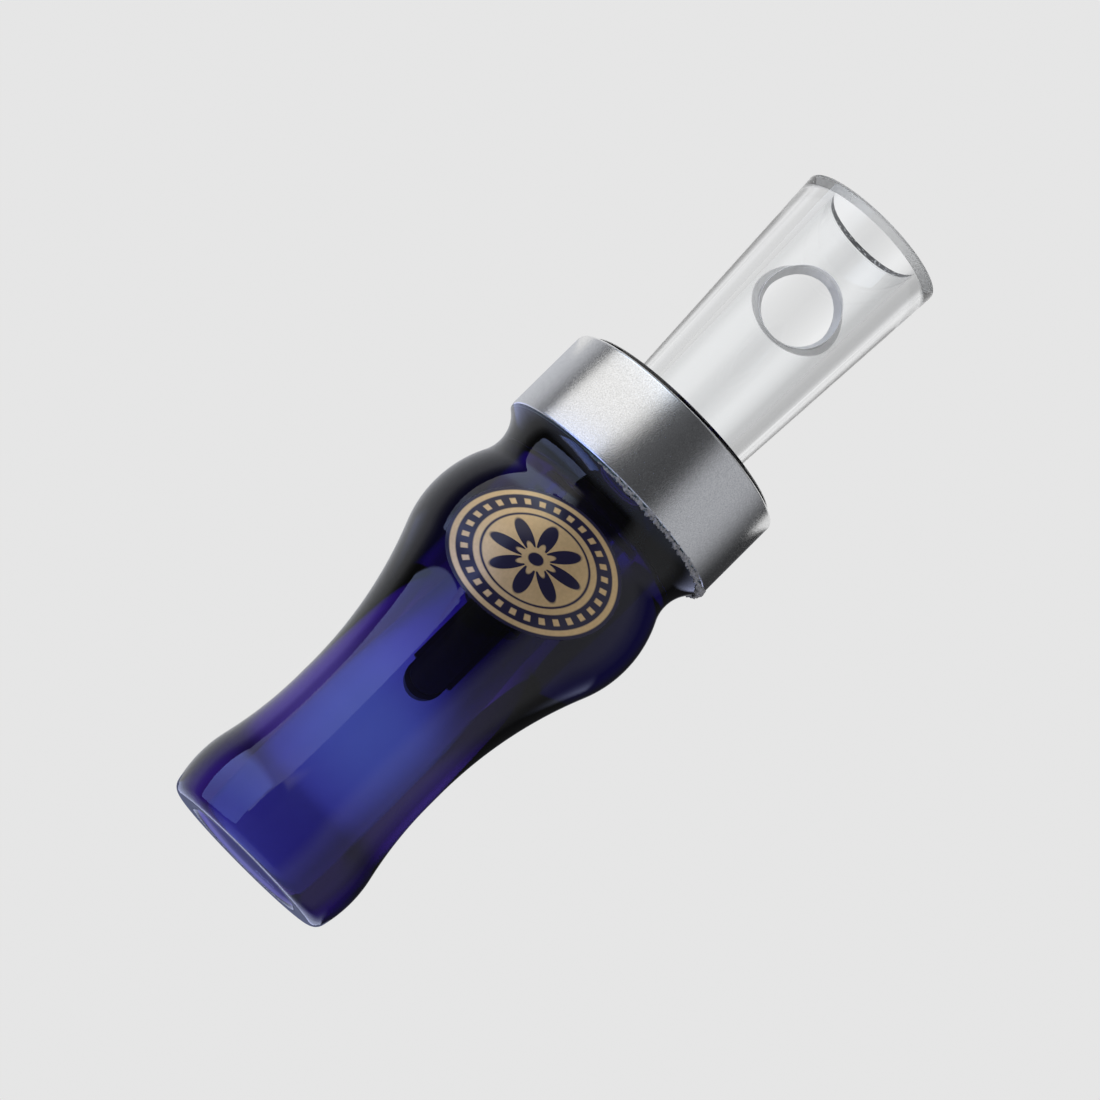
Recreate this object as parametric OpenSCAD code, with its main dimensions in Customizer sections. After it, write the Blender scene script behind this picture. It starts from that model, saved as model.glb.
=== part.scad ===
// Deer call: a turned barrel with a metal band, a clear bell that plugs into it,
// and the reed assembly that the bell carries. Millimetres, +Z along the axis,
// origin at the centre of the mouth face. The badge and the side port face -Y.

/* [Barrel outline] */
// Fullest diameter of the rounded lip at the mouth end
lip_d = 27.4; // [26:0.1:32]
// Diameter of the waist
waist_d = 23.8; // [22:0.1:25.2]
// Fullest diameter of the body, to which the bulge and the band are both turned
body_d = 35; // [31:0.1:40]
// Depth of the neck below the body's fullest diameter
neck_depth = 2.25; // [1.5:0.05:3]
// Length from the mouth face to the fullest point of the lip
lip_run = 5.7; // [4:0.1:8]
// Length from the fullest point of the lip to the waist
lip_to_waist = 16; // [12:0.5:24]
// Length of the straight part of the waist
waist_run = 2; // [0.5:0.5:20]
// Length from the waist to the fullest point of the bulge
waist_to_bulge = 28.5; // [24:0.5:36]
// Length from the fullest point of the bulge to the neck
bulge_to_neck = 9.7; // [8:0.1:14]
// Length from the neck to the shoulder that the band seats on
neck_to_band = 4.4; // [3.4:0.1:4.8]
// Radius of the lip's curve, along the axis
lip_round = 18; // [12:0.5:30]
// Radius of the neck's curve, along the axis
neck_round = 5.6; // [5.2:0.1:8]
// Radius of the mouth's outer edge
mouth_edge = 1.6; // [0.8:0.1:2]

/* [Barrel bores] */
// Diameter of the bore behind the mouth
mouth_bore_d = 17.4; // [16.2:0.1:18.4]
// Depth of the bore behind the mouth
mouth_bore_l = 28; // [20:0.5:40]
// Length of the taper from that bore down to the socket
bore_taper_l = 14; // [4:0.5:24]
// Radius of the mouth's inner edge
mouth_inner_edge = 0.8; // [0.3:0.1:1.2]
// Diameter of the socket that takes the bell's tenon
socket_d = 16; // [14:0.1:17]
// Length of spigot that stands out of the band
spigot_out = 0.7; // [0.4:0.1:3]
// Bevel at the end of the spigot
spigot_edge = 0.2; // [0.1:0.05:0.3]

/* [Band] */
// Wall of the band
band_wall = 1.15; // [0.9:0.05:1.8]
// Length of the band along the axis
band_l = 12.9; // [8:0.1:24]
// Bevel on the band's edges
band_edge = 0.4; // [0.2:0.1:0.6]

/* [Badge] */
// Width of the oval badge, across the barrel
badge_w = 24; // [14:0.5:26]
// Height of the oval badge, along the barrel
badge_h = 17.5; // [10:0.5:18]
// Thickness of the badge
badge_t = 0.15; // [0.1:0.05:0.5]
// Distance of the badge's centre past the fullest point of the bulge
badge_up = -0.8; // [-4:0.1:2]
// Angle of the badge round the barrel
badge_turn = -3; // [-30:1:30]
// Slant of the badge against the barrel's axis
badge_slant = 13; // [-45:1:45]

/* [Bell] */
// Diameter of the bell where it leaves the barrel
root_d = 18.1; // [17.4:0.1:22]
// Diameter of the bell's open end
bell_d = 22.4; // [20:0.1:28]
// Length of the bell outside the barrel
bell_l = 36.8; // [28:0.2:50]
// Radius of the rim's outer edge
bell_edge = 0.6; // [0.3:0.1:1.2]
// Length of the tenon inside the barrel
tenon_l = 22.5; // [22:0.5:30]
// Bevel at the tenon's end
tenon_edge = 0.6; // [0.3:0.1:1]
// Diameter of the bore inside the tenon
root_bore_d = 8.5; // [8:0.1:9]
// Diameter of the bore where the bell leaves the barrel
throat_d = 12.8; // [11:0.1:13.4]
// Length over which the bore widens from the tenon to the throat
throat_run = 4; // [2:0.1:5]
// Diameter of the bore at the open end
bell_bore_d = 14.9; // [13.4:0.1:16]
// Bevel at the open end of the bore
bell_bore_edge = 0.9; // [0.2:0.1:1]
// Diameter of the side port where it meets the bore
port_d = 9.7; // [6:0.1:9.8]
// Diameter of the side port's rim
port_rim_d = 10.9; // [10:0.1:13]
// Depth of the side port's bevel
port_depth = 1.6; // [0.8:0.1:2.4]
// Distance from the open end to the centre of the side port
port_from_end = 16; // [10:0.1:18]

/* [Seal rings] */
// Thickness of a seal ring
seal_t = 1.5; // [1:0.1:2]
// Distance of the front seal ring from the bell's shoulder
front_seal_at = 18; // [12:0.5:19]
// Distance of the rear seal ring from the bell's shoulder
rear_seal_at = 6; // [3:0.5:9]

/* [Reed assembly] */
// Width of the half-round tone board
board_d = 6.9; // [6:0.1:7.4]
// Length of the tone board in front of the tenon
board_reach = 26.4; // [24:0.1:34]
// Length of the tone board inside the tenon
shank_l = 12; // [11:0.5:18]
// Width of the tone board's rounded tip
tip_w = 5.7; // [5:0.1:5.9]
// Length of the tone board's narrow tip
tip_l = 4.1; // [3:0.1:6]
// Width of the air trough
trough_w = 3.4; // [2.4:0.1:3.8]
// Depth of the air trough
trough_h = 2.4; // [2:0.1:2.6]
// Length of solid board between the tip and the air trough
trough_stop = 3; // [2.4:0.1:4]
// Length of the tip that slopes away from the reed
slope_run = 15.5; // [10:0.5:16]
// Gap between reed and board at the tip
slope_drop = 0.8; // [0.4:0.05:1.2]
// Width of the reed
reed_w = 5.2; // [4.4:0.1:5.6]
// Thickness of the reed
reed_t = 0.35; // [0.2:0.05:0.5]
// Length of tip that the reed leaves bare
reed_short = 0.8; // [0.4:0.1:2]
// Length of the cork wedge that clamps the reed
wedge_l = 10; // [6:0.5:11]
// Length of the cork wedge that stands out of the tenon
wedge_out = 1; // [0.5:0.1:2]
// Wall of the rubber tuning ring
ring_t = 1.2; // [0.8:0.1:1.6]
// Length of the rubber tuning ring along the board
ring_l = 2.5; // [1.5:0.1:4]
// Distance from the tenon to the tuning ring
ring_at = 8.2; // [6:0.1:9]

/* [Fits] */
// Radial gap of a glued or pressed joint
glue_gap = 0.05; // [0.02:0.01:0.1]
// Gap under the badge
badge_gap = 0.02; // [0.01:0.01:0.05]
// Radial gap between tenon and socket
socket_gap = 0.1; // [0.05:0.01:0.2]
// Gap round a seal ring
seal_gap = 0.05; // [0.02:0.01:0.1]
// Gap on each side of the reed
reed_gap = 0.03; // [0.01:0.01:0.06]
// Gap round the board and reed inside the tuning ring
ring_gap = 0.1; // [0.05:0.01:0.2]

/* [Hidden] */
$fn = 96;
// Straight steps in each arc of an outline
arc_steps = 16;
// Corners of the badge's oval
oval_steps = 48;
// Length that a cut runs past the face it opens
past = 1;

// Stations along the axis
lip_z = lip_run;
waist_low_z = lip_z + lip_to_waist;
waist_high_z = waist_low_z + waist_run;
bulge_z = waist_high_z + waist_to_bulge;
neck_z = bulge_z + bulge_to_neck;
band_z = neck_z + neck_to_band;
barrel_l = band_z + band_l + spigot_out;
bell_end_z = barrel_l + bell_l;
port_z = bell_end_z - port_from_end;
tenon_z = barrel_l - tenon_l;
tip_z = tenon_z - board_reach;
ring_z = tenon_z - ring_at - ring_l;

// Radii shared by pieces that fit together
body_r = body_d / 2;
waist_r = waist_d / 2;
neck_r = body_r - neck_depth;
band_bore_r = body_r - band_wall;
spigot_r = band_bore_r - glue_gap;
socket_r = socket_d / 2;
tenon_r = socket_r - socket_gap;
seal_mid_r = socket_r - seal_gap - seal_t / 2;
groove_r = seal_mid_r - seal_t / 2 - seal_gap;
groove_l = seal_t + 2 * seal_gap;
mouth_bore_r = mouth_bore_d / 2;
root_bore_r = root_bore_d / 2;
throat_r = throat_d / 2;
plug_r = root_bore_r - glue_gap;
board_r = board_d / 2;
reed_room = reed_t + 2 * reed_gap;

// Sum of the radii of two tangent arcs that join two level points
function arc_sum(run, step) = (run * run + step * step) / (2 * step);
// Angle of the line through the centres of those two arcs
function arc_turn(run, step) = atan2(run, arc_sum(run, step) - step);
// Points of an arc round a centre [radius, z]
function arc(centre, r, from, to) =
    [for (i = [0 : arc_steps])
        let (a = from + (to - from) * i / arc_steps)
        centre + r * [cos(a), sin(a)]];

// Steps between the outline's level points, and the radii of its arcs
lip_step = lip_d / 2 - waist_r;
waist_step = body_r - waist_r;
lip_turn = arc_turn(lip_to_waist, lip_step);
waist_turn = arc_turn(waist_to_bulge, waist_step);
neck_turn = arc_turn(bulge_to_neck, neck_depth);
shoulder_turn = asin(neck_to_band / neck_round);
waist_low_round = arc_sum(lip_to_waist, lip_step) - lip_round;
bulge_round = arc_sum(bulge_to_neck, neck_depth) - neck_round;
waist_high_round = arc_sum(waist_to_bulge, waist_step) - bulge_round;

// Centres of the arcs
lip_centre = [lip_d / 2 - lip_round, lip_z];
waist_low_centre = [waist_r + waist_low_round, waist_low_z];
waist_high_centre = [waist_r + waist_high_round, waist_high_z];
bulge_centre = [body_r - bulge_round, bulge_z];
neck_centre = [neck_r + neck_round, neck_z];

// The mouth's rounded edge touches the mouth face and the lip's arc
edge_run = sqrt(pow(lip_round - mouth_edge, 2) - pow(lip_z - mouth_edge, 2));
edge_turn = atan2(lip_z - mouth_edge, edge_run);
edge_centre = [lip_centre.x + edge_run, mouth_edge];

// The bulge's outline from the waist to the shoulder, moved out by grow
function bulge_line(grow) = concat(
    arc(waist_high_centre, waist_high_round - grow, 180, 180 - waist_turn),
    arc(bulge_centre, bulge_round + grow, -waist_turn, neck_turn),
    arc(neck_centre, neck_round - grow, 180 + neck_turn, 180 - shoulder_turn));

// The whole outline of the barrel, from the mouth face to the end of the spigot
function barrel_line() = concat(
    [[0, 0]],
    arc(edge_centre, mouth_edge, -90, -edge_turn),
    arc(lip_centre, lip_round, -edge_turn, lip_turn),
    arc(waist_low_centre, waist_low_round, 180 + lip_turn, 180),
    bulge_line(0),
    [[spigot_r, band_z],
     [spigot_r, barrel_l - spigot_edge],
     [spigot_r - spigot_edge, barrel_l],
     [0, barrel_l]]);

// Solid of the bulge, moved out by grow
module bulge_solid(grow) {
    rotate_extrude()
        polygon(concat([[0, waist_high_z]], bulge_line(grow), [[0, band_z]]));
}

// Cut that rounds the inner edge of the mouth
module mouth_inner_cut() {
    flare_r = mouth_bore_r + mouth_inner_edge;
    rotate_extrude()
        polygon(concat(
            [[0, -past], [flare_r, -past]],
            arc([flare_r, mouth_inner_edge], mouth_inner_edge, 270, 180),
            [[0, mouth_inner_edge]]));
}

// Turned acrylic body, bored right through
module barrel() {
    color([0.13, 0.12, 0.5])
        difference() {
            rotate_extrude()
                polygon(barrel_line());
            mouth_inner_cut();
            translate([0, 0, -past])
                cylinder(r = mouth_bore_r, h = mouth_bore_l + past);
            translate([0, 0, mouth_bore_l])
                cylinder(r1 = mouth_bore_r, r2 = socket_r, h = bore_taper_l);
            translate([0, 0, mouth_bore_l])
                cylinder(r = socket_r, h = barrel_l - mouth_bore_l + past);
        }
}

// Satin aluminium band, seated on the barrel's shoulder
module band() {
    color([0.72, 0.73, 0.75])
        translate([0, 0, band_z])
            rotate_extrude()
                polygon([
                    [band_bore_r, 0],
                    [body_r - band_edge, 0],
                    [body_r, band_edge],
                    [body_r, band_l - band_edge],
                    [body_r - band_edge, band_l],
                    [band_bore_r, band_l]]);
}

// Thin oval transfer that follows the bulge
module badge() {
    oval = [for (i = [0 : oval_steps - 1])
        let (a = 360 * i / oval_steps)
        [badge_w / 2 * cos(a), badge_h / 2 * sin(a)]];
    color([0.72, 0.55, 0.35])
        difference() {
            intersection() {
                bulge_solid(badge_gap + badge_t);
                rotate([0, 0, badge_turn])
                    translate([0, 0, bulge_z + badge_up])
                        rotate([90, 0, 0])
                            linear_extrude(height = body_d)
                                rotate(badge_slant)
                                    polygon(oval);
            }
            bulge_solid(badge_gap);
        }
}

// Groove round the tenon for one seal ring
module seal_groove(at) {
    translate([0, 0, barrel_l - at - groove_l / 2])
        difference() {
            cylinder(r = socket_r + past, h = groove_l);
            translate([0, 0, -past])
                cylinder(r = groove_r, h = groove_l + 2 * past);
        }
}

// Side port: a round hole into the bore, with a bevelled rim
module side_port() {
    rim_r = port_rim_d / 2;
    wall_r = root_d / 2 + (bell_d - root_d) / 2 * (port_z - barrel_l) / bell_l;
    bevel_y = sqrt(pow(wall_r, 2) - pow(rim_r, 2));
    translate([0, 0, port_z])
        rotate([90, 0, 0]) {
            cylinder(r = port_d / 2, h = bell_d);
            translate([0, 0, bevel_y - port_depth])
                cylinder(r1 = port_d / 2, r2 = rim_r, h = port_depth);
            translate([0, 0, bevel_y])
                cylinder(r = rim_r, h = bell_d);
        }
}

// Clear acrylic bell with its grooved tenon, tapered bore and side port
module insert() {
    bell_r = bell_d / 2;
    rim_z = bell_end_z - bell_edge;
    bore_end_r = bell_bore_d / 2;
    color([0.86, 0.9, 0.93, 0.4])
        difference() {
            rotate_extrude()
                polygon(concat(
                    [[0, tenon_z],
                     [tenon_r - tenon_edge, tenon_z],
                     [tenon_r, tenon_z + tenon_edge],
                     [tenon_r, barrel_l],
                     [root_d / 2, barrel_l]],
                    arc([bell_r - bell_edge, rim_z], bell_edge, 0, 90),
                    [[0, bell_end_z]]));
            translate([0, 0, tenon_z - past])
                cylinder(r = root_bore_r, h = tenon_l + past);
            translate([0, 0, barrel_l - throat_run])
                cylinder(r1 = root_bore_r, r2 = throat_r, h = throat_run);
            translate([0, 0, barrel_l])
                cylinder(r1 = throat_r, r2 = bore_end_r, h = bell_l);
            translate([0, 0, bell_end_z - bell_bore_edge])
                cylinder(r1 = bore_end_r, r2 = bore_end_r + bell_bore_edge + past,
                         h = bell_bore_edge + past);
            seal_groove(front_seal_at);
            seal_groove(rear_seal_at);
            side_port();
        }
}

// Rubber ring in a groove of the tenon
module seal_ring(at) {
    color([0.1, 0.1, 0.1])
        translate([0, 0, barrel_l - at])
            rotate_extrude()
                translate([seal_mid_r, 0])
                    circle(r = seal_t / 2);
}

module front_seal_ring() {
    seal_ring(front_seal_at);
}

module rear_seal_ring() {
    seal_ring(rear_seal_at);
}

// Half of a round bar on the far side of the reed
module half_round(r, z, length) {
    translate([0, 0, z])
        linear_extrude(height = length)
            intersection() {
                circle(r = r);
                translate([-r - past, 0])
                    square([2 * (r + past), r + past]);
            }
}

// Outline of the tone board seen along Y: a rounded narrow tip, then the full width
module board_plan() {
    tip_r = tip_w / 2;
    translate([0, 0, tip_z])
        rotate([-90, 0, 0])
            linear_extrude(height = board_d)
                mirror([0, 1]) {
                    translate([0, tip_r])
                        circle(r = tip_r);
                    translate([-tip_r, tip_r])
                        square([tip_w, tip_l]);
                    translate([-board_d / 2, tip_l])
                        square([board_d, board_reach]);
                }
}

// Air trough with a round floor, closed at the tip and open into the bell
module air_trough() {
    floor_r = trough_w / 2;
    low_z = tip_z + trough_stop;
    length = tenon_z + shank_l + past - low_z;
    translate([-floor_r, -past, low_z])
        cube([trough_w, trough_h - floor_r + past, length]);
    translate([0, trough_h - floor_r, low_z])
        cylinder(r = floor_r, h = length);
}

// Slope that opens a gap under the reed's tip
module tip_slope() {
    rotate([90, 0, 90])
        translate([0, 0, -board_d])
            linear_extrude(height = 2 * board_d)
                polygon([
                    [0, tip_z + slope_run],
                    [slope_drop, tip_z],
                    [slope_drop, tip_z - past],
                    [-past, tip_z - past],
                    [-past, tip_z + slope_run]]);
}

// Half-round sounding board, pressed into the tenon by its shank
module tone_board() {
    color([0.06, 0.06, 0.07])
        difference() {
            union() {
                intersection() {
                    half_round(board_r, tip_z, board_reach);
                    board_plan();
                }
                half_round(plug_r, tenon_z, shank_l);
            }
            air_trough();
            tip_slope();
        }
}

// Cork wedge that fills the bore over the reed's root
module reed_wedge() {
    color([0.68, 0.5, 0.32])
        translate([0, 0, tenon_z - wedge_out])
            linear_extrude(height = wedge_l)
                intersection() {
                    circle(r = plug_r);
                    translate([-plug_r, -reed_room - plug_r])
                        square([2 * plug_r, plug_r]);
                }
}

// Thin plastic strip with a rounded tip that sounds
module reed() {
    low_z = tip_z + reed_short;
    reed_r = reed_w / 2;
    color([0.12, 0.11, 0.12])
        translate([0, -reed_gap, low_z])
            rotate([90, 0, 0])
                linear_extrude(height = reed_t) {
                    translate([0, reed_r])
                        circle(r = reed_r);
                    translate([-reed_r, reed_r])
                        square([reed_w, tenon_z + wedge_l - wedge_out - low_z - reed_r]);
                }
}

// Outline of the board and reed together, moved out by grow
module ring_outline(grow) {
    r = board_r + grow;
    flat = reed_room + grow;
    intersection() {
        circle(r = r);
        translate([-r, -flat])
            square([2 * r, flat + r]);
    }
}

// Rubber ring round the board and reed, slid along to tune the reed
module tuning_ring() {
    color([0.08, 0.08, 0.08])
        translate([0, 0, ring_z])
            linear_extrude(height = ring_l)
                difference() {
                    ring_outline(ring_gap + ring_t);
                    ring_outline(ring_gap);
                }
}

barrel();
band();
badge();
insert();
front_seal_ring();
rear_seal_ring();
tone_board();
reed_wedge();
reed();
tuning_ring();
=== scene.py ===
# %% [markdown]
# # A deer call in Blender
# A deer call is a short pipe with a reed inside. The breath goes in at the rounded blue end,
# the reed buzzes on its board, and the sound leaves through the clear bell.
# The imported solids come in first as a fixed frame, in metres, and every new piece is placed on them.

# %% Load the frame
import math

import bmesh
import bpy
from mathutils import Matrix, Vector, noise


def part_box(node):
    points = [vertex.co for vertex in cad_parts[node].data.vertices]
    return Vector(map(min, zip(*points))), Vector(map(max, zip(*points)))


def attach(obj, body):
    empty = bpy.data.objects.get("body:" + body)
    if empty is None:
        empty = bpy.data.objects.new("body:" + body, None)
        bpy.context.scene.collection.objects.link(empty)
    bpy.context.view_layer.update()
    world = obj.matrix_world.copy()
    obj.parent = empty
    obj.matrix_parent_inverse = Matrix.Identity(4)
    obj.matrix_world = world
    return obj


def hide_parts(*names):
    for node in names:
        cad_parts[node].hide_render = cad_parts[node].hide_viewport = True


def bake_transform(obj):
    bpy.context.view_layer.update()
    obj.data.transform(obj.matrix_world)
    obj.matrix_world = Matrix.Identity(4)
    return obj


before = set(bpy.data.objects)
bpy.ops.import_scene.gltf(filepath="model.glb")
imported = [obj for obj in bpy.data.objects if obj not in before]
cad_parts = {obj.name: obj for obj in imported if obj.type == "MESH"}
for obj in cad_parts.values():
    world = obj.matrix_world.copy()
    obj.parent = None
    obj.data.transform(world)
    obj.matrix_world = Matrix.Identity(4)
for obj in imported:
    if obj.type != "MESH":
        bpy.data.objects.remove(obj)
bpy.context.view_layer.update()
scene = bpy.context.scene
scene.view_settings.view_transform = "Standard"
print("solids:", ", ".join(sorted(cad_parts)))

# %% [markdown]
# ## Camera
# The photograph looks at the call from the mouth's side, a little below its middle, with a long lens,
# and the call lies at a slant across the picture. Aiming by hand would take many tries.
# Here the camera's three axes are worked out from two angles, so that the match can be tuned by numbers:
# the tilt against the call's axis, and the slant of that axis in the picture.

# %% Camera
camera_aim = Vector((0, 0, 0.0561))
camera_distance = 0.640
camera_tilt = math.radians(9.4)
axis_slant = math.radians(44.753)
picture_width = 1100

view_line = Vector((0, math.cos(camera_tilt), math.sin(camera_tilt)))
axis_up = Vector((0, -math.sin(camera_tilt), math.cos(camera_tilt)))
side = Vector((1, 0, 0))
right = axis_up * math.cos(axis_slant) + side * math.sin(axis_slant)
up = axis_up * math.sin(axis_slant) - side * math.cos(axis_slant)

camera = bpy.data.objects.new("camera", bpy.data.cameras.new("camera"))
scene.collection.objects.link(camera)
camera.matrix_world = Matrix.Translation(camera_aim - view_line * camera_distance) @ Matrix(
    (right, up, -view_line)).transposed().to_4x4()
camera.data.sensor_width = 36
camera.data.lens = 161.3
camera.data.shift_x = -0.95 / picture_width
camera.data.shift_y = 4.65 / picture_width
camera.data.clip_start = 0.01
scene.camera = camera
print("camera at", [round(value, 4) for value in camera.location])

# %% [markdown]
# ## Shader arithmetic
# Materials here are built by code. A chain of Math nodes is long to write out,
# so a small class stands for one output of a node and lets Python's own operators add the Math nodes.
# Every other kind of node comes from its one method, which sets the node up first and wires it after.

# %% The wire class
class Wire:
    """One output in a shader tree, or the bare tree when it has no socket."""

    def __init__(self, tree, socket=None):
        self.tree = tree
        self.socket = socket

    def node(self, kind, settings, inputs, output=0):
        made = self.tree.nodes.new(kind)
        for name, value in settings.items():
            if name == "stops":
                set_stops(made.color_ramp, value)
            else:
                setattr(made, name, value)
        for name, value in inputs.items():
            if isinstance(value, Wire):
                self.tree.links.new(value.socket, made.inputs[name])
            else:
                made.inputs[name].default_value = value
        return Wire(self.tree, made.outputs[output] if made.outputs else None)

    def math(self, operation, *values):
        return self.node("ShaderNodeMath", {"operation": operation}, dict(enumerate(values)))

    def __add__(self, other):
        return self.math("ADD", self, other)

    def __radd__(self, other):
        return self.math("ADD", other, self)

    def __sub__(self, other):
        return self.math("SUBTRACT", self, other)

    def __rsub__(self, other):
        return self.math("SUBTRACT", other, self)

    def __mul__(self, other):
        return self.math("MULTIPLY", self, other)

    def __rmul__(self, other):
        return self.math("MULTIPLY", other, self)

    def __truediv__(self, other):
        return self.math("DIVIDE", self, other)

    def __pow__(self, other):
        return self.math("POWER", self, other)


def set_stops(ramp, stops):
    while len(ramp.elements) < len(stops):
        ramp.elements.new(1.0)
    for element, (position, colour) in zip(ramp.elements, stops):
        element.position = position
        element.color = colour if len(colour) == 4 else (*colour, 1)


def grey(value):
    return (value, value, value, 1)


print("wire class ready")

# %% Shader helpers
def new_finish(name):
    material = bpy.data.materials.new(name)
    material.use_nodes = True
    material.node_tree.nodes.clear()
    return material, Wire(material.node_tree)


def outputs_of(wire):
    return {socket.name: Wire(wire.tree, socket) for socket in wire.socket.node.outputs if socket.enabled}


def place(wire):
    """The object coordinates as a vector and as its three parts."""
    where = outputs_of(wire.node("ShaderNodeTexCoord", {}, {}))["Object"]
    parts = outputs_of(wire.node("ShaderNodeSeparateXYZ", {}, {0: where}))
    return where, parts["X"], parts["Y"], parts["Z"]


def mix_colour(wire, factor, low, high):
    return wire.node("ShaderNodeMix", {"data_type": "RGBA"}, {0: factor, 6: low, 7: high}, output=2)


def smooth_step(wire, value, start, end):
    """0 up to the start, 1 past the end, and an easy slope between them."""
    return wire.node("ShaderNodeMapRange", {"interpolation_type": "SMOOTHSTEP"},
                     {0: value, 1: start, 2: end, 3: 0.0, 4: 1.0})


def ramp(wire, value, *stops):
    """A colour for every value, from pairs of value and colour."""
    low = stops[0][0]
    span = stops[-1][0] - low
    shares = [((at - low) / span, colour) for at, colour in stops]
    return wire.node("ShaderNodeValToRGB", {"stops": shares}, {0: (value - low) / span})


print("shader helpers ready")

# %% [markdown]
# ## Studio
# A studio is mostly what the polished pieces mirror. The blue barrel shows one sharp pale strip on its left
# and a soft grey one on its right, with darkness between them. The sharp strip is a glowing card close by,
# and the rest is painted on the world by the angle round the call, so no lamp has to be tuned for it.
# Light Path keeps the pale backdrop apart from what glossy and clear surfaces see.

# %% World
backdrop = 0.79
room_light = 0.62
low_ground = (0.80, 0.87, 1.30, 1)
deep_ground = (0.38, 0.42, 0.55, 1)

world = bpy.data.worlds.new("studio")
world.use_nodes = True
world.node_tree.nodes.clear()
scene.world = world
air = Wire(world.node_tree)

direction = outputs_of(air.node("ShaderNodeTexCoord", {}, {}))["Generated"]
towards = outputs_of(air.node("ShaderNodeSeparateXYZ", {}, {0: direction}))
# The angle is 0 towards the camera's side of the call and grows to the right
around = air.math("ARCTAN2", towards["X"], 0 - towards["Y"]) * (180 / math.pi)


def by_angle(tone, *stops):
    """A ramp over the angle round the call, from pairs of degrees and brightness in one tone."""
    return ramp(air, around, *[(angle, [value * part for part in tone]) for angle, value in stops])


mirrored = by_angle(
    (0.97, 0.99, 1.05), (-180, 0.40), (-165, 0.62), (-140, 0.58), (-125, 0.50), (-116, 0.42), (-108, 0.14),
    (-102, 0.05), (-90, 0.04), (-30, 0.12), (0, 0.06), (30, 0.05), (46, 0.42), (82, 0.42), (100, 0.33),
    (114, 0.14), (130, 0.03), (165, 0.02), (173, 0.25), (180, 0.40))
seen_through = by_angle(
    (1.0, 1.0, 1.0), (-180, 0.73), (-174, 0.86), (-165, 0.86), (-150, 0.74), (-130, 0.70), (-110, 0.64),
    (-70, 0.60), (-35, 0.30), (35, 0.26), (70, 0.40), (100, 0.60), (115, 0.56), (132, 0.48), (148, 0.48),
    (158, 0.56), (168, 0.78), (174, 0.90), (180, 0.73))
# Whatever faces the ground mirrors pale paper, which is brightest low down behind the call
behind = smooth_step(air, air.math("ABSOLUTE", around), 120.0, 160.0)
low_behind = smooth_step(air, towards["Z"], -0.05, -0.13) * behind
mirrored = mix_colour(air, low_behind, mirrored, low_ground)
straight_down = smooth_step(air, towards["Z"], -0.50, -0.85)
mirrored = mix_colour(air, straight_down, mirrored, deep_ground)

path = outputs_of(air.node("ShaderNodeLightPath", {}, {}))
sky = mix_colour(air, path["Is Glossy Ray"], grey(room_light), mirrored)
sky = mix_colour(air, path["Is Transmission Ray"], sky, seen_through)
sky = mix_colour(air, path["Is Camera Ray"], sky, grey(backdrop))
background = air.node("ShaderNodeBackground", {}, {"Color": sky, "Strength": 1.0})
air.node("ShaderNodeOutputWorld", {}, {"Surface": background})
print("world painted")

# %% [markdown]
# ## Cards
# A few glowing cards stand round the call. A mesh takes a gradient more easily than a lamp does.
# The light card makes the strip on the left, and a low card carries the strip on over the lip.
# The paper card stands behind the barrel and shows only through its blue wall:
# light on the left, and dark on the right, where the call would shade real paper.
# Three small cards only give the edges of the bell and the mouth something to mirror. The two at the bell
# are pale, and the dim one behind the mouth is a painted shadow of the ground there.

# %% Card helpers
upright = Matrix.Rotation(math.radians(90), 3, "X")


def studio_object(name, bm, finish):
    mesh = bpy.data.meshes.new(name)
    bm.to_mesh(mesh)
    bm.free()
    mesh.materials.append(finish)
    made = bpy.data.objects.new(name, mesh)
    scene.collection.objects.link(made)
    return made


def card(name, size, centre, angle, finish, rays):
    """An upright card, first placed and then swung round the call, that only the named rays meet."""
    swing = Matrix.Rotation(math.radians(angle), 3, "Z")
    bm = bmesh.new()
    bmesh.ops.create_grid(bm, x_segments=1, y_segments=1, size=0.5)
    bmesh.ops.scale(bm, vec=(*size, 1), verts=bm.verts)
    bmesh.ops.rotate(bm, cent=(0, 0, 0), matrix=upright, verts=bm.verts)
    bmesh.ops.translate(bm, vec=centre, verts=bm.verts)
    bmesh.ops.rotate(bm, cent=(0, 0, 0), matrix=swing, verts=bm.verts)
    made = studio_object(name, bm, finish)
    made.visible_camera = False
    made.visible_shadow = False
    made.visible_diffuse = "diffuse" in rays
    made.visible_glossy = "glossy" in rays
    made.visible_transmission = "transmission" in rays
    print(name, size, "m")


def glowing(name, colour_of, strength, sampling="NONE"):
    """A finish that only glows, in the colour that colour_of makes from the object coordinates."""
    material, wire = new_finish(name)
    material.cycles.emission_sampling = sampling
    across, away, height = place(wire)[1:]
    colour = colour_of(wire, across, away, height)
    glow = wire.node("ShaderNodeEmission", {}, {"Color": colour, "Strength": strength})
    wire.node("ShaderNodeOutputMaterial", {}, {"Surface": glow})
    return material


print("card helpers ready")

# %% Light card and lip card
strip_degrees = -61
strip_angle = math.radians(strip_degrees)
strip_edge = (0.0645, 0.0635)
strip_fade = (0.118, 0.057)
band_level = (0.066, 0.080)
foot_slant = 0.18
foot_edge = (-0.0007, 0.0003)
unlit = grey(0.03)


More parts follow.
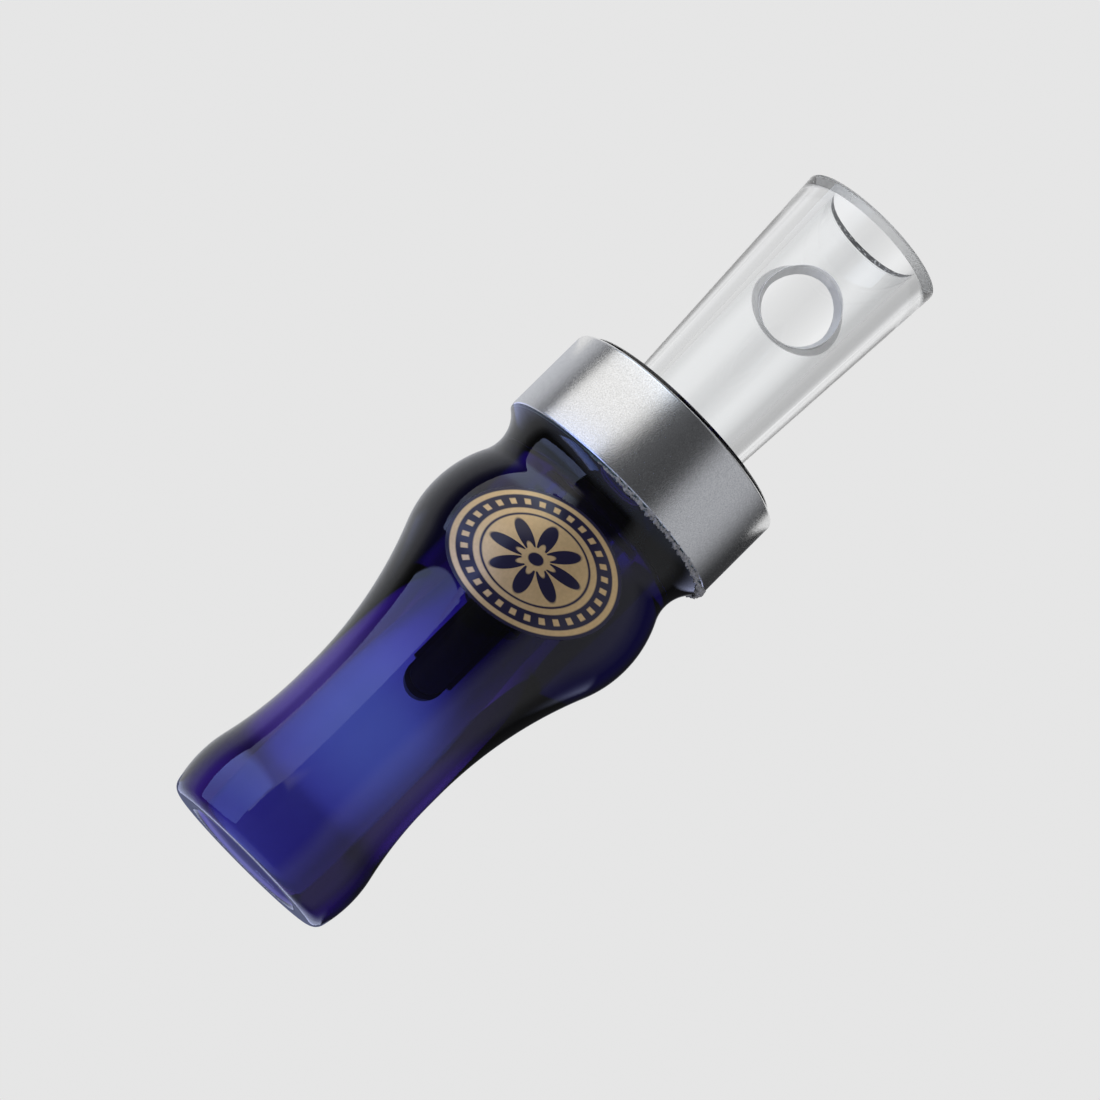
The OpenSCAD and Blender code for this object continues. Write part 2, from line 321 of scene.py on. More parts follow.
def strip_colour(wire, across, away, height):
    """Bluish low and high and white at the band's level, where the right side also fades out slowly."""
    along = across * math.cos(strip_angle) + away * math.sin(strip_angle)
    sharp = smooth_step(wire, along, *strip_edge)
    slow = smooth_step(wire, along, *strip_fade)
    level = smooth_step(wire, height, *band_level)
    # The lower edge slants, so that the strip ends square on the round of the bulge
    foot = smooth_step(wire, height + along * foot_slant, *foot_edge)
    lit = (sharp + (slow - sharp) * level) * foot
    colour = ramp(
        wire, height, (0.008, (0.48, 0.58, 1.0)), (0.024, (0.50, 0.60, 1.0)), (0.038, (0.35, 0.40, 0.48)),
        (0.05, (0.36, 0.41, 0.55)), (0.062, (0.45, 0.49, 0.62)), (0.076, (0.48, 0.475, 0.465)),
        (0.122, (0.48, 0.475, 0.465)), (0.142, (0.75, 0.85, 1.0)))
    return mix_colour(wire, lit, unlit, colour)


def lip_colour(wire, across, away, height):
    """Bluer and brighter than the light card, but close to its colour at the top, where the strips meet."""
    return ramp(
        wire, height, (-0.0045, (0.72, 0.98, 2.3)), (0.0014, (0.85, 1.20, 2.9)),
        (0.0103, (1.15, 1.55, 3.8)), (0.0195, (1.35, 1.72, 3.9)), (0.0250, (0.93, 0.98, 1.2)))


card("light_card", (0.182, 0.213), (0.027, -0.110, 0.0935), strip_degrees,
     glowing("light_card", strip_colour, 2.0, "AUTO"), ("diffuse", "glossy"))
card("lip_card", (0.0453, 0.0400), (0.00375, -0.045, 0.005), strip_degrees,
     glowing("lip_card", lip_colour, 1.0), ("glossy",))

# %% Paper card
waist_to_bulge_level = (0.03, 0.05)
ground_level = (0.012, 0.004)
ground_shade = 0.65


def grey_ramp(wire, value, *stops):
    return ramp(wire, value, *[(at, grey(shade)) for at, shade in stops])


def shaded_paper_colour(wire, across, away, height):
    """Painted light and shade on the paper: one run of greys behind the waist, a steeper one behind the
    bulge, and a painted shadow near the ground.
    """
    low = grey_ramp(
        wire, across, (-0.04, 0.39), (-0.026, 0.58), (-0.012, 0.62), (-0.004, 0.53),
        (0.006, 0.49), (0.012, 0.38), (0.02, 0.20), (0.05, 0.14))
    high = grey_ramp(
        wire, across, (-0.05, 0.25), (-0.03, 0.4), (-0.016, 0.85), (-0.008, 0.8),
        (-0.003, 0.55), (0.004, 0.35), (0.008, 0.12), (0.02, 0.05))
    shaded = mix_colour(wire, smooth_step(wire, height, *waist_to_bulge_level), low, high)
    near_ground = smooth_step(wire, height, *ground_level)
    return mix_colour(wire, near_ground * ground_shade, shaded, grey(0.0))


card("paper_card", (0.20, 0.136), (0.01, 0.028, 0.008), 0,
     glowing("paper_card", shaded_paper_colour, 1.6), ("transmission",))

# %% Edge cards
bell_card_size = (0.027, 0.04)
bell_card_reach = 0.0237


def pale_colour(wire, across, away, height):
    return grey(0.8)


def ground_shadow_colour(wire, across, away, height):
    return (0.16, 0.18, 0.30, 1)


pale_glow = glowing("pale_card", pale_colour, 1.0)
for card_name, shift in (("right_bell_card", bell_card_reach), ("left_bell_card", -bell_card_reach)):
    card(card_name, bell_card_size, (shift, 0.014, 0.102), 0, pale_glow, ("glossy",))
# The mouth card is a painted shadow of the ground behind the mouth, seen only in reflections on the mouth's
# edge.
card("mouth_card", (0.04, 0.006), (0, 0.02, -0.0002), 0,
     glowing("mouth_card", ground_shadow_colour, 1.0), ("glossy",))

# %% [markdown]
# ## Floor
# The call stands on its mouth, on a plain pale floor that keeps its shadow.
# The photograph looks from below that level, so the floor is clear from beneath,
# and it fades out with distance so that no horizon cuts the backdrop.

# %% Floor
floor_radius = 0.9
floor_height = -0.0004
floor_fade = (0.75, 0.15)

floor_finish, wire = new_finish("pale_floor")
across, away = place(wire)[1:3]
reach = (across * across + away * away) ** 0.5
near = smooth_step(wire, reach, *floor_fade)
from_beneath = outputs_of(wire.node("ShaderNodeNewGeometry", {}, {}))["Backfacing"]
matt = wire.node("ShaderNodeBsdfDiffuse", {}, {"Color": grey(0.8)})
clear = wire.node("ShaderNodeBsdfTransparent", {}, {"Color": grey(1.0)})
surface = wire.node("ShaderNodeMixShader", {}, {0: near * (1 - from_beneath), 1: clear, 2: matt})
wire.node("ShaderNodeOutputMaterial", {}, {"Surface": surface})

bm = bmesh.new()
bmesh.ops.create_circle(bm, cap_ends=True, segments=96, radius=floor_radius)
bmesh.ops.translate(bm, vec=(0, 0, floor_height), verts=bm.verts)
floor = studio_object("floor", bm, floor_finish)
floor.visible_glossy = False
floor.visible_transmission = False
print("floor laid")

# %% [markdown]
# ## Finishes
# The barrel is cast acrylic, dyed deep blue and polished. Its colour grows with the thickness of the wall:
# the thin waist glows blue and the thick bulge is nearly black. A painted colour can't do that,
# so the surface is clear and only lightly tinted, and an absorbing volume inside does the rest.

# %% Blue acrylic
def noise_at(wire, where, scale, detail=2.0, roughness=0.5):
    return outputs_of(wire.node("ShaderNodeTexNoise", {}, {
        "Vector": where, "Scale": scale, "Detail": detail, "Roughness": roughness}))["Fac"]


def bump(wire, height, strength, distance):
    return wire.node("ShaderNodeBump", {}, {"Height": height, "Strength": strength, "Distance": distance})


def stretched(wire, where, scale):
    return wire.node("ShaderNodeMapping", {}, {"Vector": where, "Scale": scale})


acrylic_ior = 1.49
dye_colour = (0.4375, 0.125, 0.6575, 1)
dye_density = 400.0

blue_finish, wire = new_finish("blue_acrylic")
where = place(wire)[0]
cloud = noise_at(wire, stretched(wire, where, (1, 1, 0.35)), scale=90, detail=3.0)
tint = mix_colour(wire, cloud, (0.45, 0.83, 0.98, 1), (0.52, 0.91, 1.0, 1))
swirl = noise_at(wire, stretched(wire, where, (1, 1, 6)), scale=900)
acrylic = wire.node("ShaderNodeBsdfPrincipled", {}, {
    "Base Color": tint,
    "Roughness": 0.004 + swirl * 0.008,
    "IOR": acrylic_ior,
    "Transmission Weight": 1.0})
dye = wire.node("ShaderNodeVolumeAbsorption", {}, {"Color": dye_colour, "Density": dye_density})
wire.node("ShaderNodeOutputMaterial", {}, {"Surface": acrylic, "Volume": dye})
print("blue acrylic mixed")

# %% [markdown]
# The bell is clear acrylic, also polished, but every cut made after polishing stays a little matt:
# the drilled side port, the frosted rim, and the bevel of the bore, which is near-black and specked at the
# back.
# One material holds them all. The rim and the front of the bevel are only rougher,
# and a matt shader is mixed in on the port's wall and on the dark back part of the bevel.

# %% Clear acrylic
port_height = 0.1007
port_rim = 0.0055
rim_height = 0.1161
bevel_height = 0.1158
bevel_reach = 0.0084
blur = 0.0001

clear_finish, wire = new_finish("clear_acrylic")
where, across, away, height = place(wire)
from_port = (across * across + (height - port_height) * (height - port_height)) ** 0.5
from_axis = (across * across + away * away) ** 0.5
front = wire.math("LESS_THAN", away, 0.0)
port_wall = smooth_step(wire, from_port, port_rim + blur, port_rim - blur) * front
rim = smooth_step(wire, height, rim_height, rim_height + 2 * blur)
bevel = (smooth_step(wire, height, bevel_height - blur / 2, bevel_height + blur / 2)
         * smooth_step(wire, from_axis, bevel_reach + blur, bevel_reach))
# The back half of the bevel, the part seen through the bore, is made near-black with pale specks.
dark_bevel = bevel * (1 - front)
frost = wire.math("MAXIMUM", rim, bevel) * (1 - dark_bevel)
streak = noise_at(wire, stretched(wire, where, (1, 1, 0.04)), scale=1400)
chatter = noise_at(wire, where, scale=2400, detail=3.0)
polished = wire.node("ShaderNodeBsdfPrincipled", {}, {
    "Base Color": mix_colour(wire, streak, (0.97, 0.98, 0.985, 1), (0.99, 0.995, 1.0, 1)),
    "Roughness": 0.004 + streak * 0.01 + port_wall * 0.3 + frost * 0.55,
    "IOR": acrylic_ior,
    "Transmission Weight": 1.0,
    "Normal": bump(wire, streak, strength=0.03, distance=0.0001)})
clean_cut = mix_colour(wire, chatter, (0.80, 0.805, 0.815, 1), (0.97, 0.975, 0.985, 1))
fleck = smooth_step(wire, chatter, 0.58, 0.68)
dark_specked_cut = mix_colour(wire, fleck, (0.05, 0.05, 0.055, 1), (0.75, 0.75, 0.76, 1))
cut_face = wire.node("ShaderNodeBsdfPrincipled", {}, {
    "Base Color": mix_colour(wire, dark_bevel, clean_cut, dark_specked_cut),
    "Roughness": 0.45 + chatter * 0.2,
    "IOR": acrylic_ior,
    "Normal": bump(wire, chatter, strength=0.5, distance=0.0001)})
matt_share = wire.math("MAXIMUM", port_wall * 0.7, dark_bevel * 0.95)
surface = wire.node("ShaderNodeMixShader", {}, {0: matt_share, 1: polished, 2: cut_face})
wire.node("ShaderNodeOutputMaterial", {}, {"Surface": surface})
print("clear acrylic mixed")

# %% [markdown]
# The band is aluminium with a bead-blasted face: a very fine, even grain with no direction.
# Fine noise gives the grain, in the colour and the bump as well as in the roughness,
# and a coarser noise makes the gloss a little uneven.

# %% Satin aluminium
satin_finish, wire = new_finish("satin_aluminium")
where = place(wire)[0]
grain = smooth_step(wire, noise_at(wire, where, scale=8000, detail=1.5, roughness=0.8), 0.3, 0.7)
patch = noise_at(wire, where, scale=260, detail=3.0)
metal = wire.node("ShaderNodeBsdfPrincipled", {}, {
    "Base Color": mix_colour(wire, grain, (0.68, 0.685, 0.69, 1), (0.98, 0.98, 0.98, 1)),
    "Metallic": 1.0,
    "Roughness": 0.18 + grain * 0.06 + patch * 0.03,
    "Normal": bump(wire, grain, strength=0.2, distance=0.00002)})
wire.node("ShaderNodeOutputMaterial", {}, {"Surface": metal})
print("satin aluminium mixed")

# %% [markdown]
# Inside the barrel are plain workshop materials: rubber rings, a machined black board,
# a smoky film for the reed and a cork wedge. They show through the blue wall only as dark shapes,
# but each keeps its own grain for when the bell is pulled out.
# The dried glue at the band is mixed in the same way.

# %% Inner finishes
def grained_finish(name, low, high, scale, rough, grit):
    material, wire = new_finish(name)
    where = place(wire)[0]
    grain = noise_at(wire, where, scale, detail=4.0, roughness=0.6)
    shader = wire.node("ShaderNodeBsdfPrincipled", {}, {
        "Base Color": mix_colour(wire, grain, (*low, 1), (*high, 1)),
        "Roughness": rough - 0.1 + grain * 0.2,
        "Normal": bump(wire, grain, strength=0.4, distance=grit)})
    wire.node("ShaderNodeOutputMaterial", {}, {"Surface": shader})
    return material


rubber_finish = grained_finish(
    "seal_rubber", (0.012, 0.012, 0.013), (0.03, 0.03, 0.032), scale=2600, rough=0.5, grit=0.00003)
board_finish = grained_finish(
    "board_plastic", (0.010, 0.010, 0.012), (0.024, 0.024, 0.027), scale=3400, rough=0.45, grit=0.00004)
film_finish = grained_finish(
    "reed_film", (0.035, 0.032, 0.036), (0.06, 0.055, 0.06), scale=900, rough=0.35, grit=0.00001)
cork_finish = grained_finish(
    "cork", (0.24, 0.12, 0.05), (0.55, 0.34, 0.17), scale=1300, rough=0.8, grit=0.00012)
glue_finish = grained_finish(
    "dried_glue", (0.06, 0.06, 0.07), (0.50, 0.50, 0.54), scale=2600, rough=0.5, grit=0.0001)
for node_name, finish in (
        ("front_seal_ring", rubber_finish), ("rear_seal_ring", rubber_finish),
        ("tuning_ring", rubber_finish), ("tone_board", board_finish), ("reed_wedge", cork_finish)):
    node_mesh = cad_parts[node_name].data
    node_mesh.materials.clear()
    node_mesh.materials.append(finish)
print("inner finishes mixed")

# %% [markdown]
# ## Barrel
# The barrel is turned on a lathe, so it is one outline swung round the axis.
# Its outer outline is a row of arcs that touch each other. Each arc is the path of a vertex
# that is spun about the arc's centre. The outline is closed through the bore and then spun a full turn.
# Outlines are drawn in millimetres and made metres at the end.

# %% Outline helpers
MM = 0.001
merge_distance = 0.0005
sharp_angle = 25


def start_outline(radius, height):
    bm = bmesh.new()
    return bm, bm.verts.new((radius, 0, height))


def line_to(bm, tip, radius, height):
    made = bmesh.ops.extrude_vert_indiv(bm, verts=[tip])
    made["verts"][0].co = (radius, 0, height)
    return made["verts"][0]


def arc_to(bm, tip, centre, degrees, steps=24):
    made = bmesh.ops.spin(bm, geom=[tip], cent=(centre[0], 0, centre[1]), axis=(0, -1, 0),
                          angle=math.radians(degrees), steps=steps)
    return [item for item in made["geom_last"] if isinstance(item, bmesh.types.BMVert)][0]


def swing_round(bm, steps=240):
    bmesh.ops.spin(bm, geom=bm.verts[:] + bm.edges[:], cent=(0, 0, 0), axis=(0, 0, 1),
                   angle=2 * math.pi, steps=steps, use_merge=True)


def make_piece(name, bm, finish, body, sharp=sharp_angle):
    """An object in metres from a shape in millimetres. Edges over the sharp angle are shaded hard."""
    bmesh.ops.remove_doubles(bm, verts=bm.verts, dist=merge_distance)
    bmesh.ops.recalc_face_normals(bm, faces=bm.faces)
    bmesh.ops.scale(bm, vec=(MM, MM, MM), verts=bm.verts)
    mesh = bpy.data.meshes.new(name)
    bm.to_mesh(mesh)
    bm.free()
    mesh.shade_smooth()
    mesh.set_sharp_from_angle(angle=math.radians(sharp))
    mesh.materials.append(finish)
    piece = bpy.data.objects.new(name, mesh)
    scene.collection.objects.link(piece)
    if body:
        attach(piece, body)
    print(name, "has", len(mesh.polygons), "faces")
    return piece


print("outline helpers ready")

# %% Barrel outline
lip_radius = 13.7
waist_radius = 11.9
body_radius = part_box("band")[1].x / MM
neck_depth = 2.25
lip_height = 5.7
lip_to_waist = 16
waist_run = 2
waist_to_bulge = 28.5
bulge_to_neck = 9.7
neck_to_band = 4.4
lip_round = 18
neck_round = 5.6
mouth_edge = 1.6
band_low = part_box("band")[0].z / MM
band_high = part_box("band")[1].z / MM
barrel_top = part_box("barrel")[1].z / MM


def arc_sum(run, step):
    """Sum of the radii of two touching arcs that join two level points."""
    return (run * run + step * step) / (2 * step)


def arc_turn(run, step):
    """Angle of the line through the centres of those two arcs."""
    return math.degrees(math.atan2(run, arc_sum(run, step) - step))


waist_low = lip_height + lip_to_waist
waist_high = waist_low + waist_run
bulge_height = waist_high + waist_to_bulge
neck_height = bulge_height + bulge_to_neck
neck_radius = body_radius - neck_depth
lip_turn = arc_turn(lip_to_waist, lip_radius - waist_radius)
waist_turn = arc_turn(waist_to_bulge, body_radius - waist_radius)
neck_turn = arc_turn(bulge_to_neck, neck_depth)
shoulder_turn = math.degrees(math.asin(neck_to_band / neck_round))
waist_low_round = arc_sum(lip_to_waist, lip_radius - waist_radius) - lip_round
bulge_round = arc_sum(bulge_to_neck, neck_depth) - neck_round
waist_high_round = arc_sum(waist_to_bulge, body_radius - waist_radius) - bulge_round
lip_centre = (lip_radius - lip_round, lip_height)
edge_reach = math.sqrt((lip_round - mouth_edge) ** 2 - (lip_height - mouth_edge) ** 2)
edge_turn = math.degrees(math.atan2(lip_height - mouth_edge, edge_reach))
edge_centre = (lip_centre[0] + edge_reach, mouth_edge)
bulge_centre = (body_radius - bulge_round, bulge_height)
neck_centre = (neck_radius + neck_round, neck_height)
print("bulge arc of", round(bulge_round, 2), "mm, waist arcs of",
      round(waist_low_round, 1), "and", round(waist_high_round, 1), "mm")

# %% Turn the barrel
mouth_bore_radius = 8.7
mouth_bore_depth = 28
mouth_inner_edge = 0.8
bore_taper = 14
socket_radius = 8
spigot_radius = 16.3
spigot_edge = 0.2

bm, first = start_outline(mouth_bore_radius + mouth_inner_edge, 0)
tip = line_to(bm, first, edge_centre[0], 0)
tip = arc_to(bm, tip, edge_centre, 90 - edge_turn, steps=10)
tip = arc_to(bm, tip, lip_centre, edge_turn + lip_turn)
tip = arc_to(bm, tip, (waist_radius + waist_low_round, waist_low), -lip_turn)
tip = line_to(bm, tip, waist_radius, waist_high)
tip = arc_to(bm, tip, (waist_radius + waist_high_round, waist_high), -waist_turn)
tip = arc_to(bm, tip, bulge_centre, waist_turn + neck_turn, steps=36)
tip = arc_to(bm, tip, neck_centre, -(neck_turn + shoulder_turn), steps=28)
tip = line_to(bm, tip, spigot_radius, band_low)
tip = line_to(bm, tip, spigot_radius, barrel_top - spigot_edge)
tip = line_to(bm, tip, spigot_radius - spigot_edge, barrel_top)
tip = line_to(bm, tip, socket_radius, barrel_top)
tip = line_to(bm, tip, socket_radius, mouth_bore_depth + bore_taper)
tip = line_to(bm, tip, mouth_bore_radius, mouth_bore_depth)
tip = line_to(bm, tip, mouth_bore_radius, mouth_inner_edge)
tip = arc_to(bm, tip, (mouth_bore_radius + mouth_inner_edge, mouth_inner_edge), 90, steps=10)
swing_round(bm)
barrel = make_piece("barrel_shell", bm, blue_finish, "barrel")
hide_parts("barrel")

# %% [markdown]
# ## Band
# The band is a plain ring with its edges broken by a file. A square outline is spun,
# and the bevel operator rounds the two edges that ring its outer face.

# %% Band
band_bore = 16.35
band_edge = 0.4
slack = 0.01

bm, first = start_outline(band_bore, band_low)
tip = line_to(bm, first, body_radius, band_low)
tip = line_to(bm, tip, body_radius, band_high)
tip = line_to(bm, tip, band_bore, band_high)
bmesh.ops.contextual_create(bm, geom=[tip, first])
swing_round(bm)
outer_edges = [edge for edge in bm.edges
               if all(abs(math.hypot(v.co.x, v.co.y) - body_radius) < slack for v in edge.verts)
               and abs(edge.verts[0].co.z - edge.verts[1].co.z) < slack]
bmesh.ops.bevel(bm, geom=outer_edges, offset=band_edge, offset_type="OFFSET", affect="EDGES",
                segments=4, profile=0.5, material=-1)
band = make_piece("band_ring", bm, satin_finish, "barrel")
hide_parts("band")

# %% [markdown]
# ## Bell
# The bell is a tapered tube of clear acrylic with a side port drilled through its front wall.
# The tube is spun like the barrel. The port is a turned cutter, laid on its side,
# and a Boolean modifier takes it out of the wall, as a drill would.

# %% Turn the bell
bell_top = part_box("insert")[1].z / MM
bell_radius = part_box("insert")[1].x / MM
tenon_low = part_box("insert")[0].z / MM
tenon_radius = 7.9
tenon_edge = 0.6
root_radius = 9.05
bell_edge = 0.6
tenon_bore = 4.25
throat_bore = 6.4
throat_run = 4
bell_bore = 7.45
bore_edge = 0.9
groove_radius = 6.4
groove_half = 0.8
seal_heights = (barrel_top - 18, barrel_top - 6)
wall_steps = 12


def long_line_to(bm, tip, radius, height, steps=wall_steps):
    """A straight line in short steps, so that shading stays even along it."""
    low_radius, low_height = tip.co.x, tip.co.z
    for step in range(1, steps + 1):
        share = step / steps
        tip = line_to(bm, tip, low_radius + (radius - low_radius) * share,
                      low_height + (height - low_height) * share)
    return tip


bm, first = start_outline(tenon_bore, tenon_low)
tip = line_to(bm, first, tenon_radius - tenon_edge, tenon_low)
tip = line_to(bm, tip, tenon_radius, tenon_low + tenon_edge)
for seal_height in seal_heights:
    tip = line_to(bm, tip, tenon_radius, seal_height - groove_half)
    tip = line_to(bm, tip, groove_radius, seal_height - groove_half)
    tip = line_to(bm, tip, groove_radius, seal_height + groove_half)
    tip = line_to(bm, tip, tenon_radius, seal_height + groove_half)
tip = line_to(bm, tip, tenon_radius, barrel_top)
tip = line_to(bm, tip, root_radius, barrel_top)
tip = long_line_to(bm, tip, bell_radius, bell_top - bell_edge)
tip = arc_to(bm, tip, (bell_radius - bell_edge, bell_top - bell_edge), 90, steps=10)
tip = line_to(bm, tip, bell_bore + bore_edge, bell_top)
tip = line_to(bm, tip, bell_bore, bell_top - bore_edge)
tip = long_line_to(bm, tip, throat_bore, barrel_top)
tip = line_to(bm, tip, tenon_bore, barrel_top - throat_run)
bmesh.ops.contextual_create(bm, geom=[tip, first])
swing_round(bm)
bell = make_piece("clear_bell", bm, clear_finish, None)

# %% Drill the side port
port_radius = 4.85
port_rim_radius = 5.45
port_bevel = 1.6
wall_growth = bell_radius - root_radius
port_rise = port_height / MM - barrel_top
wall_radius = root_radius + wall_growth * port_rise / (bell_top - barrel_top)
rim_reach = math.sqrt(wall_radius ** 2 - port_rim_radius ** 2)

bm, tip = start_outline(0, 0)
tip = line_to(bm, tip, port_radius, 0)
tip = line_to(bm, tip, port_radius, rim_reach - port_bevel)
tip = line_to(bm, tip, port_rim_radius, rim_reach)
tip = line_to(bm, tip, port_rim_radius, 2 * bell_radius)
tip = line_to(bm, tip, 0, 2 * bell_radius)
swing_round(bm, steps=96)
bmesh.ops.rotate(bm, cent=(0, 0, 0), matrix=upright, verts=bm.verts)
bmesh.ops.translate(bm, vec=(0, 0, port_height / MM), verts=bm.verts)
cutter = make_piece("port_cutter", bm, clear_finish, None)

drill = bell.modifiers.new("drill", "BOOLEAN")
drill.operation = "DIFFERENCE"
drill.object = cutter
bpy.context.view_layer.update()
drilled = bpy.data.meshes.new_from_object(bell.evaluated_get(bpy.context.evaluated_depsgraph_get()))
bell.modifiers.clear()
bell.data = drilled
bpy.data.objects.remove(cutter)
drilled.set_sharp_from_angle(angle=math.radians(sharp_angle))
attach(bell, "insert")
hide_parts("insert")
print("bell drilled,", len(drilled.polygons), "faces")

# %% [markdown]
# ## Badge
# A thin gold transfer sits on the bulge. The disc is cut flat as an oval, with rings inset into it
# so that it can bend, and every point is then laid on the bulge's round.
# The print on it is a plain ornament: a border with dots, and a rosette of leaves.

# %% Gold print
badge_height = 0.0514
badge_half = (0.012, 0.00875)
badge_turn = math.radians(-3)
badge_slant = math.radians(13)

gold_finish, wire = new_finish("gold_print")
where, across, away, height = place(wire)
level = across * math.cos(badge_turn) + away * math.sin(badge_turn)
rise = height - badge_height
flat_x = (level * math.cos(badge_slant) + rise * math.sin(badge_slant)) / badge_half[0]
flat_z = (rise * math.cos(badge_slant) - level * math.sin(badge_slant)) / badge_half[1]
spread = (flat_x * flat_x + flat_z * flat_z) ** 0.5
turn = wire.math("ARCTAN2", flat_z, flat_x)


def between(wire, value, low, high, soft):
    """1 from low to high and 0 outside, with soft edges."""
    above = wire.node("ShaderNodeMapRange", {}, {0: value, 1: low - soft, 2: low + soft, 3: 0.0, 4: 1.0})
    below = wire.node("ShaderNodeMapRange", {}, {0: value, 1: high - soft, 2: high + soft, 3: 1.0, 4: 0.0})
    return above * below


dot_count = 30
leaf_count = 8
soft = 0.008
rim_line = between(wire, spread, 0.955, 2.0, soft)
dark_ring = between(wire, spread, 0.70, 0.89, soft)
dot_wave = wire.math("COSINE", turn * dot_count) * 0.5 + 0.5
dots = between(wire, spread, 0.755, 0.835, soft) * between(wire, dot_wave, 0.62, 2.0, 0.1)
leaf_wave = wire.math("ABSOLUTE", wire.math("COSINE", turn * (leaf_count / 2)))
leaf_reach = 0.12 + leaf_wave * 0.44
leaves = between(wire, spread / leaf_reach, 0.42, 1.0, 0.03) * between(wire, spread, 0.16, 2.0, soft)
eye = between(wire, spread, -1.0, 0.09, soft)
inner_line = between(wire, spread, 0.60, 0.63, soft)
dark = wire.math("MAXIMUM", rim_line, dark_ring * (1 - dots))
dark = wire.math("MAXIMUM", dark, wire.math("MAXIMUM", leaves, wire.math("MAXIMUM", eye, inner_line)))
speck = noise_at(wire, where, scale=2200, detail=3.0)
gold = mix_colour(wire, speck, (0.57, 0.40, 0.205, 1), (0.76, 0.545, 0.29, 1))
ink = (0.012, 0.010, 0.035, 1)
printed = wire.node("ShaderNodeBsdfPrincipled", {}, {
    "Base Color": mix_colour(wire, dark, gold, ink),
    "Metallic": 0.55 * (1 - dark),
    "Roughness": 0.38 + speck * 0.12 - dark * 0.22,
    "Normal": bump(wire, speck, strength=0.1, distance=0.00003)})
wire.node("ShaderNodeOutputMaterial", {}, {"Surface": printed})
print("gold print mixed")

# %% Badge
badge_lift = 0.02
badge_thick = 0.15
badge_rings = 12


def bulge_surface(height):
    """Outer radius of the barrel between the waist and the shoulder, in millimetres."""
    waist_join = bulge_height - bulge_round * math.sin(math.radians(waist_turn))
    neck_join = bulge_height + bulge_round * math.sin(math.radians(neck_turn))
    if height < waist_join:
        waist_reach = math.sqrt(waist_high_round ** 2 - (height - waist_high) ** 2)
        return waist_radius + waist_high_round - waist_reach
    if height > neck_join:
        return neck_centre[0] - math.sqrt(neck_round ** 2 - (height - neck_height) ** 2)
    return bulge_centre[0] + math.sqrt(bulge_round ** 2 - (height - bulge_height) ** 2)


bm = bmesh.new()
bmesh.ops.create_circle(bm, cap_ends=True, segments=96, radius=1)
for ring in range(badge_rings - 1):
    inner = max(bm.faces, key=lambda face: len(face.verts))
    bmesh.ops.inset_individual(bm, faces=[inner], thickness=1 / badge_rings, use_even_offset=True)
middle = max(bm.faces, key=lambda face: len(face.verts))
bmesh.ops.poke(bm, faces=[middle])
bmesh.ops.scale(bm, vec=(badge_half[0] / MM, badge_half[1] / MM, 1), verts=bm.verts)
bmesh.ops.rotate(bm, cent=(0, 0, 0), matrix=Matrix.Rotation(badge_slant, 3, "Z"), verts=bm.verts)
bmesh.ops.rotate(bm, cent=(0, 0, 0), matrix=upright, verts=bm.verts)
bmesh.ops.translate(bm, vec=(0, 0, badge_height / MM), verts=bm.verts)
grown = bmesh.ops.extrude_face_region(bm, geom=bm.faces[:], use_keep_orig=True)
outer_verts = [item for item in grown["geom"] if isinstance(item, bmesh.types.BMVert)]
for vert in bm.verts:
    lift = badge_lift + (badge_thick if vert in outer_verts else 0)
    vert.co.y = -math.sqrt((bulge_surface(vert.co.z) + lift) ** 2 - vert.co.x ** 2)
bmesh.ops.rotate(bm, cent=(0, 0, 0), matrix=Matrix.Rotation(badge_turn, 3, "Z"), verts=bm.verts)
badge = make_piece("badge_transfer", bm, gold_finish, "barrel", sharp=40)
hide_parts("badge")

# %% [markdown]
# ## Glue bead
# A little adhesive was squeezed out along the edge of the band and dried there in crumbs, from the front
# round to the right, with one larger lump. A small ring is spun round the axis,
# and noise, which gives the same values on every run, swells and pinches it.

# %% Glue bead
bead_radius = body_radius - 0.45
bead_height = band_low - 0.12
bead_size = 0.45
bead_start = -118
bead_end = 70
start_fade = 30
end_fade = 40
lump_at = -10
lump_width = 5
crumb_scale = 1.9
thinnest = 0.08


def share_of(value, low, high):
    return min(1, max(0, (value - low) / (high - low)))


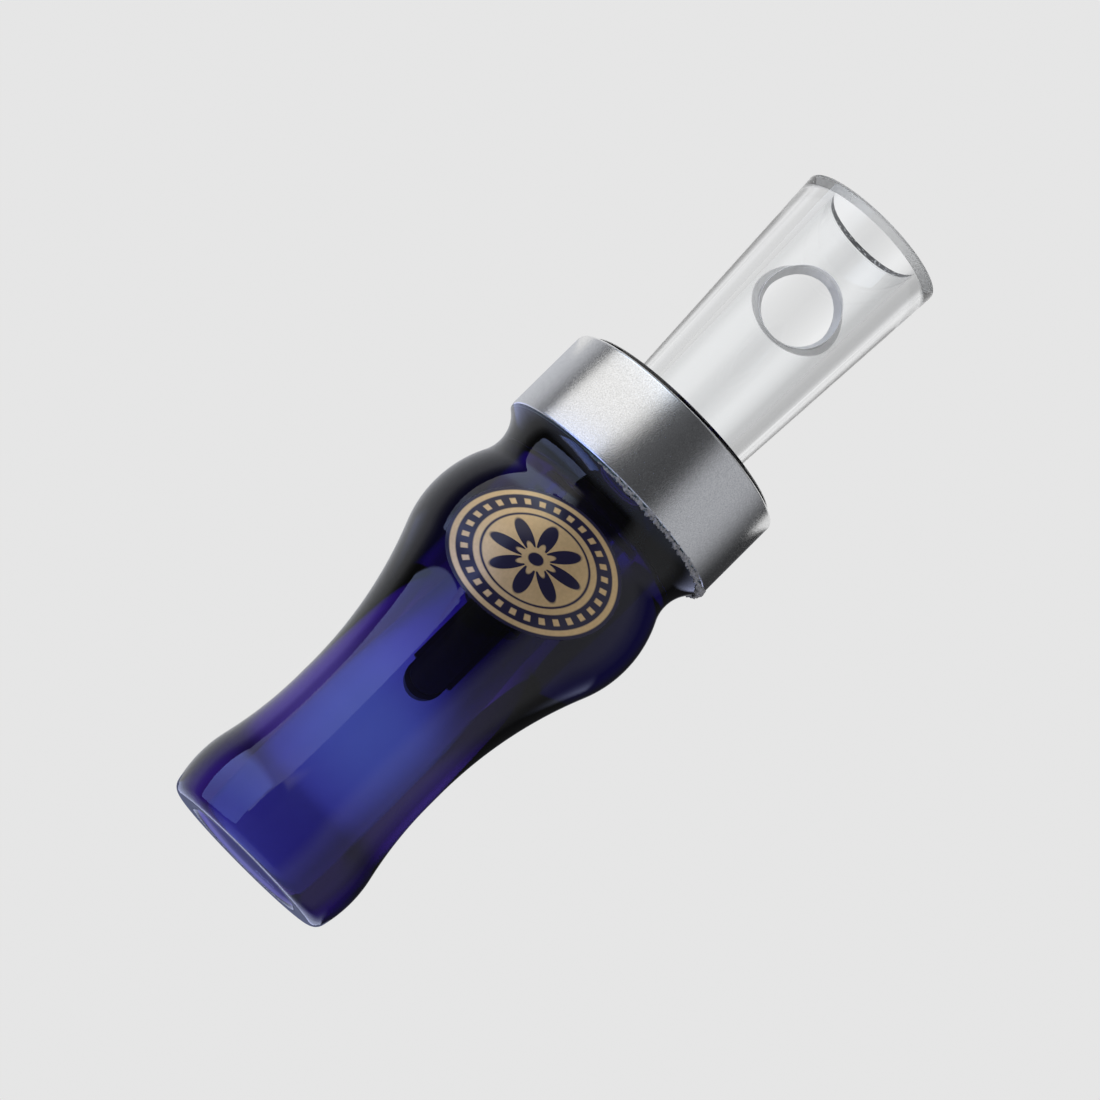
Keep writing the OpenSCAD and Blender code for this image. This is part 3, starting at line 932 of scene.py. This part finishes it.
bm = bmesh.new()
bmesh.ops.create_circle(bm, segments=12, radius=bead_size)
bmesh.ops.rotate(bm, cent=(0, 0, 0), matrix=upright, verts=bm.verts)
bmesh.ops.translate(bm, vec=(bead_radius, 0, bead_height), verts=bm.verts)
swing_round(bm, steps=720)
for vert in bm.verts:
    angle = math.atan2(vert.co.y, vert.co.x)
    spine = Vector((math.cos(angle) * bead_radius, math.sin(angle) * bead_radius, bead_height))
    degrees = math.degrees(angle)
    begun = share_of(degrees, bead_start, bead_start + start_fade)
    remaining = share_of(degrees, bead_end, bead_end - end_fade)
    lump = math.exp(-((degrees - lump_at) / lump_width) ** 2)
    ragged = noise.fractal(vert.co * crumb_scale, 0.6, 2.1, 6)
    swell = begun * remaining * (0.75 + 0.9 * ragged) + 0.5 * lump
    vert.co = spine + (vert.co - spine) * max(swell, thinnest)
make_piece("glue_bead", bm, glue_finish, "barrel", sharp=60)

# %% [markdown]
# ## Reed
# The reed is a strip of film with a rounded tip, held by the cork at one end and free at the other.
# A half circle makes the tip, and its points are drawn out to the far end.
# The reed bends where the tuning ring pins it, so the strip is cut into short lengths.

# %% Reed
reed_low, reed_high = (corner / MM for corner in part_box("reed"))
reed_half = reed_high.x
long_edge = 5
reed_cuts = 60

bm, tip = start_outline(-reed_half, reed_low.z + reed_half)
arc_to(bm, tip, (0, reed_low.z + reed_half), 180, steps=20)
drawn = bmesh.ops.extrude_edge_only(bm, edges=bm.edges[:])
for item in drawn["geom"]:
    if isinstance(item, bmesh.types.BMVert):
        item.co.z = reed_high.z
long_edges = [edge for edge in bm.edges if abs(edge.verts[0].co.z - edge.verts[1].co.z) > long_edge]
bmesh.ops.subdivide_edges(bm, edges=long_edges, cuts=reed_cuts, use_grid_fill=True)
bmesh.ops.translate(bm, vec=(0, reed_low.y, 0), verts=bm.verts)
bmesh.ops.recalc_face_normals(bm, faces=bm.faces)
thick = bmesh.ops.extrude_face_region(bm, geom=bm.faces[:], use_keep_orig=True)
far_side = [item for item in thick["geom"] if isinstance(item, bmesh.types.BMVert)]
bmesh.ops.translate(bm, vec=(0, reed_high.y - reed_low.y, 0), verts=far_side)
reed = make_piece("reed_strip", bm, film_finish, None)
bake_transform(reed)
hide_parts("reed")
